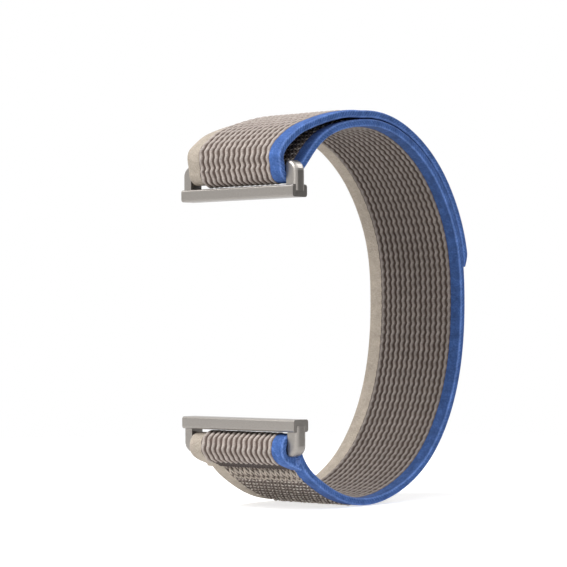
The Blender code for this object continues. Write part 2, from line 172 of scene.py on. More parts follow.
def smooth_line(knots, start_way, end_way):
    """A fine clamped cubic through the knots, in the XZ plane."""
    knots = np.array(knots)
    chords = np.linalg.norm(np.diff(knots, axis=0), axis=1)
    system = np.eye(len(knots))
    slopes = np.zeros_like(knots)
    slopes[0] = start_way
    slopes[-1] = end_way
    for i in range(1, len(knots) - 1):
        before, after = chords[i - 1], chords[i]
        system[i, i - 1 : i + 2] = after, 2 * (before + after), before
        rise_before = (knots[i] - knots[i - 1]) / before
        rise_after = (knots[i + 1] - knots[i]) / after
        slopes[i] = 3 * (after * rise_before + before * rise_after)
    slopes = np.linalg.solve(system, slopes)
    line = []
    for i, chord in enumerate(chords):
        t = np.linspace(0.0, 1.0, KNOT_STEPS, endpoint=False)[:, None]
        line.append(
            (2 * t**3 - 3 * t**2 + 1) * knots[i]
            + (t**3 - 2 * t**2 + t) * chord * slopes[i]
            + (3 * t**2 - 2 * t**3) * knots[i + 1]
            + (t**3 - t**2) * chord * slopes[i + 1]
        )
    return np.concatenate([*line, knots[-1:]])


def arc(centre_z, radius, start_angle, end_angle):
    """Fine points round a cross bar, in degrees from +X towards +Z."""
    turns = np.radians(np.linspace(start_angle, end_angle, KNOT_STEPS))
    return np.stack([radius * np.cos(turns), centre_z + radius * np.sin(turns)], axis=1)


def left_normals(route):
    """Unit normals on the left of the way the route runs."""
    ways = np.gradient(route, axis=0)
    ways /= np.linalg.norm(ways, axis=1)[:, None]
    return np.stack([-ways[:, 1], ways[:, 0]], axis=1)


def cloth_points(route, distance, places):
    """Points off a route: distance along its left normals, and places across the width."""
    normals = left_normals(route)
    x, z = (route[:, axis, None] + normals[:, axis, None] * distance for axis in (0, 1))
    return np.stack([x, places, z], axis=2).reshape(-1, 3)


def add_object(name, contents):
    made = bpy.data.objects.new(name, contents)
    bpy.context.scene.collection.objects.link(made)
    return made


def add_mesh(name, points, polygons):
    mesh = bpy.data.meshes.new(name)
    mesh.from_pydata(points, [], polygons)
    return add_object(name, mesh)


def weave_places(along, across):
    """The yarn pattern's places: each row's length along the textile with each column's place across it."""
    return np.stack([np.repeat(along, len(across)), np.tile(across, len(along))], axis=1)


def cloth_object(name, points, polygons, weave, height):
    """A smooth mesh object that carries the yarn pattern's places, in metres, and the relief's height."""
    made = add_mesh(name, points.tolist(), polygons)
    mesh = made.data
    places = mesh.uv_layers.new(name="weave")
    corners = np.empty(len(mesh.loops), np.int32)
    mesh.loops.foreach_get("vertex_index", corners)
    places.data.foreach_set("uv", weave[corners].astype(np.float32).reshape(-1))
    relief = mesh.attributes.new("relief", "FLOAT", "POINT")
    relief.data.foreach_set("value", height.astype(np.float32))
    mesh.shade_smooth()
    mesh.set_sharp_from_angle(angle=math.radians(SHARP_ANGLE))
    return made


def wrapped(rings, flipped):
    """Faces that join each ring of points to the next, with a cap at both ends."""
    after = np.roll(rings, -1, axis=1)
    polygons = np.stack([rings[:-1], rings[1:], after[1:], after[:-1]], axis=2).reshape(-1, 4).tolist()
    polygons += [rings[0].tolist(), rings[-1][::-1].tolist()]
    return [polygon[::-1] for polygon in polygons] if flipped else polygons


def worked_slab(name, route, along, across, sideways, face, back, relief):
    """A closed slab of cloth along route, with a worked face of many points and a plain back.

    across holds the places across the width, which sideways shifts. face and back are distances along the
    route's left normals. along is each row's place on the textile's whole length, for the yarn pattern.
    """
    rows, columns = len(route), len(across)
    places = across + sideways
    front = cloth_points(route, face, places)
    rear = cloth_points(route, np.repeat(back[:, None], 2, axis=1), places[:, [0, -1]])
    grid = np.arange(rows * columns).reshape(rows, columns)
    rear_grid = rows * columns + np.arange(rows * 2).reshape(rows, 2)
    polygons = wrapped(np.hstack([rear_grid[:, :1], grid, rear_grid[:, 1:]]), face[0, 0] < back[0])
    weave = np.concatenate([weave_places(along, across), weave_places(along, across[[0, -1]])])
    height = np.concatenate([relief.reshape(-1), np.zeros(2 * rows)])
    return cloth_object(name, np.concatenate([front, rear]), polygons, weave, height)


def wandering(chance, rows, columns, knot_rows):
    """Random numbers from -1 to 1 that change smoothly down each column."""
    knots = chance.random((rows // knot_rows + 2, columns)) * 2 - 1
    row = np.arange(rows) / knot_rows
    lower = row.astype(int)
    blend = (row - lower)[:, None]
    blend = blend * blend * (3 - 2 * blend)
    return knots[lower] * (1 - blend) + knots[lower + 1] * blend


def ridge_relief(along, seed):
    """Places across, sideways shifts and heights from 0 to 1 for the wavy warp ridges."""
    ridge_starts = np.repeat(np.arange(RIDGES), len(RIDGE_PLACE_SHARES))
    across = ground_near + ridge_pitch * (ridge_starts + np.tile(RIDGE_PLACE_SHARES, RIDGES))
    across = np.append(across, ground_far)
    heights = np.append(np.tile(RIDGE_HEIGHT_SHARES, RIDGES), 0.0)
    which = np.minimum(((across - ground_near) / ridge_pitch + RIDGE_NUDGE).astype(int), RIDGES)
    chance = np.random.default_rng(seed)
    drift = SWAY_DRIFT * wandering(chance, len(along), RIDGES + 1, 2 * WEFT_ROWS)
    turn = math.tau * along[:, None] / WEFT_PITCH + drift[:, which]
    swing = np.sin(turn) + SWAY_SKEW * np.sin(2 * turn + SWAY_PHASE)
    edge = np.minimum(across - ground_near, ground_far - across) / ridge_pitch
    hold = np.clip(EDGE_SWAY_SHARE + edge, 0.0, 1.0)
    ragged = RAGGED * wandering(chance, len(along), len(across), RAGGED_ROWS) * (edge > 0)
    sideways = SWAY * swing * hold + ragged
    dip = 1 - STITCH_DIP_SHARE * (0.5 - 0.5 * np.cos(turn + SWAY_PHASE))
    uneven = 1 - UNEVEN_SHARE * (0.5 + 0.5 * wandering(chance, len(along), RIDGES + 1, WEFT_ROWS // 2))
    return across, sideways, heights * dip * uneven[:, which]


def feed(tree, node, inputs):
    """Sets a node's inputs. Each takes a plain value, or the output that feeds it."""
    for name, value in inputs.items():
        if isinstance(value, bpy.types.NodeSocket):
            tree.links.new(value, node.inputs[name])
        else:
            node.inputs[name].default_value = value


def add_node(tree, kind, inputs, **settings):
    made = tree.nodes.new("ShaderNode" + kind)
    for name, value in settings.items():
        setattr(made, name, value)
    feed(tree, made, inputs)
    return made


def calculate(tree, operation, first, second):
    return add_node(tree, "Math", {0: first, 1: second}, operation=operation).outputs["Value"]


def noise(tree, places, size, detail):
    inputs = {"Vector": places, "Scale": 1 / size, "Detail": detail}
    return add_node(tree, "TexNoise", inputs).outputs["Fac"]


def spread(tree, value, source, target, **settings):
    """Carries a value from the source's low and high to the target's."""
    names = ("Value", "From Min", "From Max", "To Min", "To Max")
    inputs = dict(zip(names, (value, *source, *target)))
    return add_node(tree, "MapRange", inputs, **settings).outputs["Result"]


def colour_ramp(tree, value, stops):
    """A colour for each value, from stops of place and colour."""
    ramp = add_node(tree, "ValToRGB", {"Fac": value})
    elements = ramp.color_ramp.elements
    for element, (place, colour) in ((elements[0], stops[0]), (elements[1], stops[-1])):
        element.position = place
        element.color = (*colour, 1.0)
    for place, colour in stops[1:-1]:
        elements.new(place).color = (*colour, 1.0)
    return ramp.outputs["Color"]


def bumps(tree, height, strength, distance):
    inputs = {"Height": height, "Strength": strength, "Distance": distance}
    return add_node(tree, "Bump", inputs).outputs["Normal"]


def new_material(name):
    made = bpy.data.materials.new(name)
    made.use_nodes = True
    return made, made.node_tree, made.node_tree.nodes["Principled BSDF"]


def painted_shade_share(tree, places, left, girth):
    """How much of the colour is left under painted shade: less on the wrist side, all of it on tail, fold and
    flap.

    left is the least of it, and girth how far the wrist side reaches round a selvedge.
    """
    place = add_node(tree, "SeparateXYZ", {"Vector": places})
    end = float(length_along(band)[-1])
    fades = [("X", WRIST_SHADE_FADE, 0.0), ("X", end - WRIST_SHADE_FADE, end)]
    if girth:
        fades.append(("Y", girth, girth + EDGE_ROUND))
    share = left
    for axis, shaded, full in fades:
        fade = spread(tree, place.outputs[axis], (shaded, full), (left, 1.0), interpolation_type="SMOOTHSTEP")
        share = calculate(tree, "MAXIMUM", share, fade)
    return share


def fabric(name, colours, grain, roughness, twist=None, mottle=PLAIN_MOTTLE, shaded=None, girth=None):
    """Woven yarn. colours are those of grooves, ridges and crests, and the relief picks between them."""
    made, tree, shader = new_material(name)
    places = add_node(tree, "UVMap", {}, uv_map="weave").outputs["UV"]
    height = add_node(tree, "Attribute", {}, attribute_name="relief").outputs["Fac"]
    speckle = noise(tree, places, grain, SPECKLE_DETAIL)
    patches = noise(tree, places, PATCH_SIZE * grain, PATCH_DETAIL)
    speckle_tint = spread(tree, speckle, NOISE_SPREAD, SPECKLE_SPREAD)
    patch_tint = spread(tree, patches, NOISE_SPREAD, (1 - mottle, 1 + mottle))
    share = calculate(tree, "MULTIPLY", speckle_tint, patch_tint)
    # The wrist side is darkened with painted shade.
    if shaded:
        share = calculate(tree, "MULTIPLY", share, painted_shade_share(tree, places, shaded, girth))
    yarn = colour_ramp(tree, height, list(zip(YARN_STOPS, colours)))
    tint = add_node(tree, "VectorMath", {"Vector": yarn, "Scale": share}, operation="SCALE")
    rough = speckle
    if twist:
        rotation = (0.0, 0.0, math.radians(TWIST_TURN))
        turned = add_node(tree, "Mapping", {"Vector": places, "Rotation": rotation})
        twisted = add_node(tree, "TexWave", {
            "Vector": turned.outputs["Vector"],
            "Scale": WAVE_UNIT / twist,
            "Distortion": TWIST_DISTORTION,
            "Detail Scale": TWIST_DETAIL,
        })
        rough = calculate(tree, "ADD", twisted.outputs["Fac"], speckle)
    feed(tree, shader, {
        "Base Color": tint.outputs["Vector"],
        "Roughness": roughness,
        "Specular IOR Level": YARN_GLOSS,
        "Sheen Weight": YARN_SHEEN,
        "Sheen Roughness": YARN_SHEEN_ROUGHNESS,
        "Normal": bumps(tree, rough, YARN_BUMP, grain / BUMPS_PER_GRAIN),
    })
    return made


def dress(piece, material, body, node):
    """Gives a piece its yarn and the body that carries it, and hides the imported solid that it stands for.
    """
    piece.data.materials.append(material)
    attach(piece, body)
    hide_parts(node)


def band_line():
    """The middle of the band from its exit at the upper bar to its entry at the lower bar."""
    leave = math.radians(BAND_EXIT_ANGLE)
    knots = [(fold_middle * math.cos(leave), BAR_REACH + fold_middle * math.sin(leave))]
    knots += [(x * LOOP_DEPTH, BAR_REACH + z * TOP_RISE) for x, z in TOP_ROUTE_SHARES]
    knots += [(x * LOOP_DEPTH, z * BAR_REACH) for x, z in BACK_ROUTE_SHARES]
    knots += [(x * LOOP_DEPTH, -BAR_REACH - z * BOTTOM_DROP) for x, z in BOTTOM_ROUTE_SHARES]
    knots.append((fold_middle, -BAR_REACH))
    return smooth_line(knots, (-math.sin(leave), math.cos(leave)), (0.0, 1.0))


def flap_line(band):
    """The middle of the flap from the lower bar to its foot on the band's outer face."""
    back = length_along(band)[-1] - length_along(band)
    foot = int(np.argmin(abs(back - FLAP_FOOT)))
    away = left_normals(band)[foot]
    end = band[foot] + away * (BAND_THICKNESS + FLAP_FOOT_GAP)
    below = (-fold_middle, -BAR_REACH - FLAP_STRAIGHT)
    return smooth_line([(-fold_middle, -BAR_REACH), below, end], (0.0, -1.0), (-away[1], away[0]))


band = evenly(band_line(), ROUTE_SPACING)
over_lower_bar = arc(-BAR_REACH, fold_middle, 0.0, 180.0)
flap = evenly(flap_line(band), ROUTE_SPACING)
flap_length = length_along(flap)
ground_flap = flap[flap_length <= FLAP_GROUND_LENGTH]
ground_route = np.concatenate([band[:-1], over_lower_bar[:-1], ground_flap])
band_route = evenly(ground_route, WEFT_PITCH / WEFT_ROWS)
band_along = length_along(band_route)

# Grooves take the darker ground yarn, deepened with painted shade, and the ridge crests take a painted
# highlight.
GROUND_COLOURS = ((0.110, 0.082, 0.069), (0.370, 0.318, 0.288), (0.520, 0.460, 0.422))
ground_yarn = fabric(
    "ground_yarn", GROUND_COLOURS, grain=0.00022, roughness=0.82, twist=0.00030, shaded=WRIST_SHADE_SHARE
)

across, sideways, relief = ridge_relief(band_along, seed=3)
ridge_face = -(half + RIDGE_PROUD) + RIDGE_HEIGHT * (1 - relief)
wrist_ground = worked_slab(
    "band_wrist_ridges", band_route, band_along, across, sideways,
    ridge_face, np.zeros(len(band_route)), relief,
)
dress(wrist_ground, ground_yarn, "band", "band_ground_weave")

# The loop pile on the band's outer face
# The same textile's other side. Short nylon loops stand in straight rows, leaning left and right by turns,
# and take the hooks of the tail.
PILE_COLUMNS = 20
PILE_PITCH = 0.00122
PILE_ROWS = 6
PILE_SUNK = 0.00010
PILE_WEAVE_HEIGHT = 0.00008
PILE_WEAVE_STEPS = 4
PILE_WEAVE_LEVEL = 0.30
PILE_HEIGHT = 0.00036
PILE_SPAN = 0.00052
PILE_THREAD = 0.00024
PILE_LEAN = 34.0
PILE_LEAN_SPREAD = 14.0
PILE_UNEVEN_SHARE = 0.40
PILE_JITTER = 1 / 8
PILE_ROOT_SHADE = 0.25
PILE_STEPS = 6
PILE_SIDES = 5
THREADS_APART = 10
SEAM_END = 0.0072
# The loops' feet take painted shade from the dark colour, and their tops a painted highlight from the light
# one.
PILE_COLOURS = ((0.085, 0.064, 0.052), (0.500, 0.432, 0.385), (0.920, 0.865, 0.795))
pile_spacing = (ground_far - ground_near) / PILE_COLUMNS


def pile_ground(along):
    """Places across and heights from 0 to 1 for the weave that the loops stand in."""
    across = np.linspace(ground_near, ground_far, PILE_WEAVE_STEPS * PILE_COLUMNS + 1)
    down = np.cos(math.tau * along / PILE_PITCH)[:, None]
    return across, PILE_WEAVE_LEVEL * (1 + down * np.cos(math.tau * (across - ground_near) / pile_spacing))


def threads(name, paths, heights, radius, up, sides):
    """Short tubes of yarn. paths is threads by points by place, and heights the points' relief."""
    ways = np.gradient(paths, axis=1)
    ways /= np.linalg.norm(ways, axis=2)[:, :, None]
    aside = np.cross(ways, up)
    aside /= np.linalg.norm(aside, axis=2)[:, :, None]
    over = np.cross(aside, ways)
    turns = math.tau * np.arange(sides) / sides
    rings = paths[:, :, None] + radius * np.cos(turns)[:, None] * aside[:, :, None]
    rings += radius * np.sin(turns)[:, None] * over[:, :, None]
    count, points = paths.shape[:2]
    grid = np.arange(count * points * sides).reshape(count, points, sides)
    after = np.roll(grid, -1, axis=2)
    walls = np.stack([grid[:, :-1], grid[:, 1:], after[:, 1:], after[:, :-1]], axis=3).reshape(-1, 4).tolist()
    ends = grid[:, 0].tolist() + grid[:, -1, ::-1].tolist()
    length = np.linalg.norm(np.diff(paths, axis=1), axis=2).cumsum(axis=1)
    length = np.concatenate([np.zeros((count, 1)), length], axis=1)
    length += np.arange(count)[:, None] * THREADS_APART * radius
    weave = weave_places(length.reshape(-1), turns * radius)
    relief = np.repeat(heights.reshape(-1), sides)
    return cloth_object(name, rings.reshape(-1, 3), walls + ends, weave, relief)


def pile_loops(name, route, start, end, face, turned, height, seed):
    """Loops of yarn on one face of route, between two lengths along it. height is a rule of the length."""
    normals = left_normals(route) * turned
    along = length_along(route)
    rows = np.arange(start, end, PILE_PITCH)
    chance = np.random.default_rng(seed)
    shape = (len(rows), PILE_COLUMNS)
    across = ground_near + pile_spacing * (np.arange(PILE_COLUMNS) + 0.5)
    lengths = rows[:, None] + (chance.random(shape) - 0.5) * PILE_PITCH * PILE_JITTER
    across = across + (chance.random(shape) - 0.5) * pile_spacing * PILE_JITTER
    sign = np.where((np.arange(len(rows))[:, None] + np.arange(PILE_COLUMNS)) % 2, 1.0, -1.0)
    lean = np.radians(sign * PILE_LEAN + (chance.random(shape) * 2 - 1) * PILE_LEAN_SPREAD).reshape(-1)
    tall = (height(lengths) * (1 - PILE_UNEVEN_SHARE * chance.random(shape))).reshape(-1)
    lengths = lengths.reshape(-1)
    out = pairs_at(lengths, along, normals)
    foot = pairs_at(lengths, along, route) + out * face
    out = np.stack([out[:, 0], np.zeros(len(out)), out[:, 1]], axis=1)
    foot = np.stack([foot[:, 0], across.reshape(-1), foot[:, 1]], axis=1)
    sideways = np.array([0.0, 1.0, 0.0])
    onwards = np.cross(out, sideways)
    reach = np.cos(lean)[:, None] * sideways + np.sin(lean)[:, None] * onwards
    turns = np.linspace(0.0, math.pi, PILE_STEPS)
    paths = foot[:, None] - reach[:, None] * PILE_SPAN / 2 * np.cos(turns)[:, None]
    paths += out[:, None] * (np.sin(turns) * (tall - PILE_THREAD / 2)[:, None])[:, :, None]
    # Each loop is painted dark at its feet, painted shade, and light at its top, a painted highlight; lower
    # loops stay darker.
    heights = PILE_ROOT_SHADE + (1 - PILE_ROOT_SHADE) * np.sin(turns) * (tall / PILE_HEIGHT)[:, None]
    return threads(name, paths, heights, PILE_THREAD / 2, out[:, None], PILE_SIDES)


pile_route = evenly(ground_route, PILE_PITCH / PILE_ROWS)
pile_along = length_along(pile_route)
pile_across, pile_weave = pile_ground(pile_along)
pile_yarn = fabric("pile_yarn", PILE_COLOURS, grain=0.00018, roughness=0.88)
outer_ground = worked_slab(
    "band_outer_weave", pile_route, pile_along, pile_across, np.zeros_like(pile_weave),
    half - PILE_SUNK - PILE_WEAVE_HEIGHT * (1 - pile_weave), np.zeros(len(pile_route)), pile_weave,
)
loops = pile_loops(
    "band_outer_pile", band, 2 * PILE_PITCH, length_along(band)[-1] - SEAM_END, half - PILE_SUNK, 1.0,
    lambda place: np.full_like(place, PILE_HEIGHT), seed=5,
)
for piece in (outer_ground, loops):
    dress(piece, pile_yarn, "band", "band_ground_weave")

# The blue selvedge
# Both edges of the textile are woven closed with finer yarn, so they are smooth and square-shouldered. A
# row of slanted stitches closes the side. This edge is blue, on the near side of band, fold and tail.
EDGE_ROUND = 0.00035
EDGE_ROUND_STEPS = 5
EDGE_SIDE_STEPS = 5
SELVEDGE_FLAT_STEPS = 8
SELVEDGE_SWELL = 0.00004
SELVEDGE_GRAIN = 0.000014
SELVEDGE_SPACING = 0.00016
SELVEDGE_TUCK = 0.00008
SELVEDGE_TONE = 0.60
SELVEDGE_SPECKLE = 0.24
# Painted highlight on the rounded shoulders of both selvedges: how far their tone is raised towards the light
# yarn colour.
SHOULDER_HIGHLIGHT = 0.32
SIDE_STITCH_PITCH = 0.00068
SIDE_STITCH_HEIGHT = 0.00003
SIDE_STITCH_SHADE = 0.26
SIDE_STITCH_SLANT = 0.9
EDGE_MOTTLE = 0.22
# Painted shade on the blue edge's wrist-side face: the share of colour it keeps.
BLUE_WRIST_SHADE_SHARE = 0.64
BLUE_COLOURS = ((0.026, 0.058, 0.180), (0.060, 0.130, 0.360), (0.145, 0.250, 0.580))
FLAP_END_THICKNESS = 0.00045
FLAP_TAPER_POWER = 4
FLAP_FILL = 0.00080
FLAP_FILL_START = 0.0020
FLAP_FILL_END = 0.0062


def selvedge(name, route, along, inside, edge, low, high, seed):
    """A closed edge of fine yarn along route, from low to high on the route's left normals."""
    side = math.copysign(1.0, edge - inside)
    flat = np.linspace(0.0, 1.0, SELVEDGE_FLAT_STEPS, endpoint=False)
    round_share = EDGE_ROUND / BAND_THICKNESS
    turns = np.linspace(0.0, math.pi / 2, EDGE_ROUND_STEPS)
    upright = np.linspace(0.0, 1.0, EDGE_SIDE_STEPS + 1)[1:-1]
    tucked = inside - side * SELVEDGE_TUCK
    shoulder = edge - side * EDGE_ROUND
    corner = shoulder + side * EDGE_ROUND * np.sin(turns)
    across = np.concatenate(
        [tucked + (shoulder - tucked) * flat, corner, np.full(len(upright), edge), corner[::-1],
         shoulder + (tucked - shoulder) * flat[1:], [tucked]]
    )
    rise = round_share * (1 - np.cos(turns))
    share = np.concatenate(
        [np.zeros(len(flat)), rise, round_share + (1 - 2 * round_share) * upright, 1 - rise[::-1],
         np.ones(len(flat))]
    )
    sign = np.concatenate(
        [-np.ones(len(flat)), -np.cos(turns), np.zeros(len(upright)), np.cos(turns[::-1]), np.ones(len(flat))]
    )
    aside = np.sqrt(1 - sign**2)
    steps = np.hypot(np.diff(across), np.diff(share) * BAND_THICKNESS)
    girth = np.concatenate([[0.0], np.cumsum(steps)])
    swell = np.sin(math.pi * np.clip(abs(across - tucked) / abs(edge - tucked), 0, 1)) * SELVEDGE_SWELL
    rough = np.random.default_rng(seed).random((len(route), len(across)))
    slant = along[:, None] / SIDE_STITCH_PITCH + SIDE_STITCH_SLANT * girth / SIDE_STITCH_PITCH
    stitch = (0.5 + 0.5 * np.cos(math.tau * slant)) * aside**2
    relief = SELVEDGE_TONE + SELVEDGE_SPECKLE * (rough - 0.5)
    # The side stitches vary the tone, and the rounded shoulders take a painted highlight.
    relief += SIDE_STITCH_SHADE * aside**2 * (stitch - 0.5) + SHOULDER_HIGHLIGHT * aside * abs(sign) * 2
    lift = sign * swell + sign * SELVEDGE_GRAIN * (rough - 0.5) * 2
    distance = low[:, None] + share * (high - low)[:, None] + lift
    places = across + side * SIDE_STITCH_HEIGHT * (stitch - 0.5) * aside
    points = cloth_points(route, distance, places)
    polygons = wrapped(np.arange(len(points)).reshape(len(route), len(across)), side > 0)
    relief = np.clip(relief, 0.0, 1.0).reshape(-1)
    return cloth_object(name, points, polygons, weave_places(along, girth), relief)


edge_route = evenly(np.concatenate([band[:-1], over_lower_bar[:-1], flap]), SELVEDGE_SPACING)
edge_along = length_along(edge_route)
flap_place = edge_along - edge_along[-1] + flap_length[-1]
on_flap = np.clip(flap_place / flap_length[-1], 0.0, 1.0)
edge_low = -half + on_flap**FLAP_TAPER_POWER * (BAND_THICKNESS - FLAP_END_THICKNESS)
filled = np.clip((flap_place - FLAP_FILL_START) / (FLAP_FILL_END - FLAP_FILL_START), 0.0, 1.0)
edge_high = half + FLAP_FILL * np.sin(math.pi * filled)
blue_yarn = fabric(
    "blue_yarn", BLUE_COLOURS, grain=0.00020, roughness=0.78, mottle=EDGE_MOTTLE,
    shaded=BLUE_WRIST_SHADE_SHARE, girth=BLUE_WIDTH + SELVEDGE_TUCK - EDGE_ROUND,
)
blue_band = selvedge(
    "band_blue_edge", edge_route, edge_along, ground_near, near_edge, edge_low, edge_high, seed=7
)
dress(blue_band, blue_yarn, "band", "band_blue_selvedge")

# The cream selvedge
# The far edge is woven the same way in undyed yarn. It is a little wider than the blue one, and lower
# than the ridges beside it.
CREAM_DROP = 0.00030
CREAM_OUTER_DROP = 0.00012
CREAM_TAIL_DROP = 0.00045
CREAM_COLOURS = ((0.300, 0.256, 0.208), (0.435, 0.378, 0.316), (0.520, 0.456, 0.388))
cream_yarn = fabric("cream_yarn", CREAM_COLOURS, grain=0.00020, roughness=0.80)
cream_band = selvedge(
    "band_cream_edge", edge_route, edge_along, ground_far, far_edge,
    np.minimum(edge_low + CREAM_DROP, half - FLAP_END_THICKNESS), edge_high - CREAM_OUTER_DROP, seed=11,
)
dress(cream_band, cream_yarn, "band", "band_cream_selvedge")

# The fold round the upper bar
# The textile passes through the upper lug and turns under its bar, ridges outwards. On the real strap it
# bends between the band and the tail when the tail is peeled open.
fold_line = arc(BAR_REACH, fold_middle, BAND_EXIT_ANGLE, -180.0)
fold_route = evenly(fold_line, WEFT_PITCH / WEFT_ROWS)
fold_along = -length_along(fold_route)
fold_low = np.full(len(fold_route), -half)
across, sideways, relief = ridge_relief(fold_along, seed=13)
fold_ground = worked_slab(
    "fold_ridges", fold_route, fold_along, across, sideways,
    half + RIDGE_PROUD - RIDGE_HEIGHT * (1 - relief), fold_low, relief,
)
fold_blue = selvedge(
    "fold_blue_edge", fold_route, fold_along, ground_near, near_edge, fold_low, -fold_low, seed=17
)
fold_cream = selvedge(
    "fold_cream_edge", fold_route, fold_along, ground_far, far_edge,
    fold_low, -fold_low - CREAM_TAIL_DROP, seed=19,
)
for piece, node, material, slot in (
    (fold_ground, "fold_ground_weave", ground_yarn, "taupe_yarn"),
    (fold_blue, "fold_blue_selvedge", blue_yarn, "blue_yarn"),
    (fold_cream, "fold_cream_selvedge", cream_yarn, "cream_yarn"),
):
    piece.data.materials.append(material)
    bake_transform(piece)
    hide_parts(node)

# The tail
# Past the bar the textile lies back over the band with its ridges outwards, a little askew: its far edge
# leans out from the bar. Its last few millimetres are pressed flat and thin under heat, against fraying.
ASKEW = 0.00100
ASKEW_LOW = 0.0248
ASKEW_FULL = 0.0280
ASKEW_NEAR = 0.0020
ASKEW_END = 0.0150
LAYER_GAP = 0.00025
TAIL_MEETS_BAND = 0.0215
TAIL_TIP_REACH = 0.0620
TIP_TAPER = 0.0024
TIP_TAPER_POWER = 1.5
TIP_THICKNESS = 0.00025
TIP_PRESSED = 0.0036
TIP_FADE = 0.0012
TIP_DROP = 0.00020
TIP_RELIEF_LEFT = 0.12
TIP_TONE = 0.45
TIP_SWAY = 3
RAIL_ROOM_SHARE = 0.25
RAIL_ROOM_FROM = 0.0010
RAIL_ROOM_TO = 0.0022
RAIL_ROOM_END = 0.0050
TAIL_ROUTE_SHARES = (
    (-0.046, 0.202), (-0.031, 0.382), (0.005, 0.551), (0.045, 0.697), (0.110, 0.848),
    (0.182, 0.972), (0.256, 1.073), (0.343, 1.145),
)


def tail_line():
    """The middle of the tail from the upper bar, over the free stretch and along the band's outer face."""
    along = length_along(band)
    meets = int(np.argmin(abs(along - TAIL_MEETS_BAND)))
    tip = int(np.argmin(abs(along - TAIL_TIP_REACH)))
    away = left_normals(band)
    hugging = band + away * (BAND_THICKNESS + LAYER_GAP)
    knots = [(-fold_middle, BAR_REACH)]
    knots += [(x * LOOP_DEPTH, BAR_REACH + z * TOP_RISE) for x, z in TAIL_ROUTE_SHARES]
    knots.append(tuple(hugging[meets]))
    free = smooth_line(knots, (0.0, 1.0), (away[meets][1], -away[meets][0]))
    return np.concatenate([free[:-1], hugging[meets : tip + 1]])


def smooth_step(start, end, value):
    share = np.clip((value - start) / (end - start), 0.0, 1.0)
    return share * share * (3 - 2 * share)


def dress_tail(piece, material, node):
    """Leans the piece's far edge out from the upper bar, and dresses it."""
    points = np.empty(3 * len(piece.data.vertices))
    piece.data.vertices.foreach_get("co", points)
    points = points.reshape(-1, 3)
    far_share = (points[:, 1] - near_edge) / BAND_WIDTH
    rising = smooth_step(ASKEW_LOW, ASKEW_FULL, points[:, 2])
    points[:, 0] -= ASKEW * far_share * rising * (1 - smooth_step(ASKEW_NEAR, ASKEW_END, points[:, 0]))
    piece.data.vertices.foreach_set("co", points.reshape(-1))
    dress(piece, material, "tail", node)


def tip_press(back):
    """How far the tip is pressed down: 0 before the taper, 1 at the very end."""
    return np.clip(1 - back / TIP_TAPER, 0.0, 1.0) ** TIP_TAPER_POWER


def tail_faces(back):
    """The tail's lower and upper face, by the distance back from its tip."""
    press = tip_press(back)
    return -half - press * TIP_DROP, half - press * (BAND_THICKNESS - TIP_THICKNESS + TIP_DROP)


def tail_rows(spacing):
    """The tail's route, each row's place on the textile, and its distance from the bar and from the tip."""
    route = evenly(tail_line(), spacing)
    length = length_along(route)
    return route, fold_along[-1] - length, length, length[-1] - length


tail_route, tail_along, tail_length, tail_back = tail_rows(WEFT_PITCH / WEFT_ROWS)
tail_low, tail_high = tail_faces(tail_back)
across, sideways, relief = ridge_relief(tail_along, seed=23)
pressed = np.clip((tail_back - TIP_PRESSED) / TIP_FADE + 1, TIP_RELIEF_LEFT, 1.0)[:, None]
tail_relief = relief * pressed + TIP_TONE * (1 - pressed)
past_rail = smooth_step(RAIL_ROOM_TO, RAIL_ROOM_END, tail_length)
by_rail = smooth_step(0.0, RAIL_ROOM_FROM, tail_length) * (1 - past_rail)
tail_proud = (RIDGE_PROUD * (1 - (1 - RAIL_ROOM_SHARE) * by_rail))[:, None] * pressed
tail_ridges = worked_slab(
    "tail_ridges", tail_route, tail_along, across, sideways * np.minimum(pressed * TIP_SWAY, 1.0),
    tail_high[:, None] + tail_proud - RIDGE_HEIGHT * (1 - tail_relief) * pressed,
    (tail_low + tail_high) / 2, tail_relief,
)
dress_tail(tail_ridges, ground_yarn, "tail_ground_weave")

# The tail's underside
# The side of the tail that faces the band. It is the loop side of the textile, and the hook patch is
# welded into it near the tip. Its loops lie low, and lower still where they are free of the band.
HOOK_LENGTH = 0.0300
HOOK_THICKNESS = 0.00040
HOOK_SUNK = 0.00010
HOOK_SEAT_GAP = 0.00008
HOOK_TIP_MARGIN = 0.0060
PILE_LOW = 0.00014
PILE_CRUSHED = 0.00016
UNDER_COLOURS = ((0.400, 0.340, 0.285), (0.500, 0.432, 0.372), (0.640, 0.565, 0.490))
hook_end = tail_length[-1] - HOOK_TIP_MARGIN
hook_start = hook_end - HOOK_LENGTH
free_length = tail_length[-1] - (TAIL_TIP_REACH - TAIL_MEETS_BAND)
hooked = (tail_back >= HOOK_TIP_MARGIN) & (tail_back <= HOOK_TIP_MARGIN + HOOK_LENGTH)
under_across, under_weave = pile_ground(tail_along)
under_face = tail_low + PILE_SUNK + np.where(hooked, HOOK_THICKNESS + HOOK_SEAT_GAP, 0.0)
tail_under = worked_slab(
    "tail_underside", tail_route, tail_along, under_across, np.zeros_like(under_weave),
    under_face[:, None] + PILE_WEAVE_HEIGHT * (1 - under_weave), (tail_low + tail_high) / 2, under_weave,
)
under_yarn = fabric("under_yarn", UNDER_COLOURS, grain=0.00018, roughness=0.88)
dress_tail(tail_under, under_yarn, "tail_ground_weave")
for part, start, end, seed in (
    ("free", PILE_PITCH, hook_start - PILE_PITCH / 2, 29),
    ("tip", hook_end + PILE_PITCH, tail_length[-1] - TIP_TAPER, 30),
):
    under_loops = pile_loops(
        f"tail_{part}_pile", tail_route, start, end, half - PILE_SUNK, -1.0,
        lambda place: np.where(place < free_length, PILE_LOW, PILE_CRUSHED), seed,
    )
    dress_tail(under_loops, under_yarn, "tail_ground_weave")

